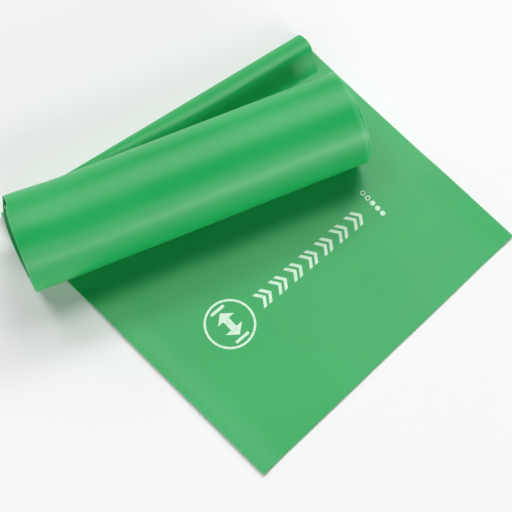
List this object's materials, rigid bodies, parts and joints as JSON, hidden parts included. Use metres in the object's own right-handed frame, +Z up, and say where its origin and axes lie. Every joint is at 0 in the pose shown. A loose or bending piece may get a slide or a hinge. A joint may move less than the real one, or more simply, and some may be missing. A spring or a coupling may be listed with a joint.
{
  "type": "flat resistance band",
  "caption": "Flat rubber resistance band, part rolled, its free tail folded under the roll. The tail lifts and stretches, and the roll swings up about the fold.",
  "frame": {"origin": "on the underside of the tail, on the table, below the middle of the roll", "axes": "+X along the roll's axis, towards the end where the tail stands out; -Y towards the tail's free end; +Z up"},
  "size_m": [0.1977, 0.1749, 0.0423],
  "materials": {
    "band_rubber": "satin, smooth, slightly waxy green rubber sheet",
    "print_ink": "thin matt white ink, printed on the rubber"
  },
  "bodies": {
    "tail_base": {"tail_base": "band_rubber", "back_fold": "band_rubber"},
    "bend_strip_1": {"bend_strip_1": "band_rubber"},
    "bend_strip_2": {"bend_strip_2": "band_rubber"},
    "tail": {"tail_flap": "band_rubber", "stretch_section": "band_rubber"},
    "grip": {"grip_end": "band_rubber"},
    "roll": {"upper_lay": "band_rubber", "roll_outer_turn": "band_rubber", "roll_coil": "band_rubber"}
  },
  "joints": [
    {"name": "tail_bend_1", "type": "hinge", "parent": "tail_base", "child": "bend_strip_1", "pos_m": [0, -0.024, 0.0005], "axis": [-1, 0, 0], "range_deg": [0, 25]},
    {"name": "tail_bend_2", "type": "hinge", "parent": "bend_strip_1", "child": "bend_strip_2", "pos_m": [0, -0.031, 0.0005], "axis": [-1, 0, 0], "range_deg": [0, 25]},
    {"name": "tail_bend_3", "type": "hinge", "parent": "bend_strip_2", "child": "tail", "pos_m": [0, -0.038, 0.0005], "axis": [-1, 0, 0], "range_deg": [0, 25]},
    {"name": "tail_stretch", "type": "slide", "parent": "tail", "child": "grip", "axis": [0.36, -0.933, 0], "range_m": [0, 0.019], "stiffness_N_per_m": 3200, "deforming": ["stretch_section"]},
    {"name": "fold_opening", "type": "hinge", "parent": "tail_base", "child": "roll", "pos_m": [0.00109, 0.0362, 0.00215], "axis": [-0.9831, -0.1831, 0], "range_deg": [0, 75], "deforming": ["back_fold"]}
  ],
  "couplings": [
    {"joint": "tail_bend_2", "follows": "tail_bend_1", "ratio": 1},
    {"joint": "tail_bend_3", "follows": "tail_bend_1", "ratio": 1}
  ]
}
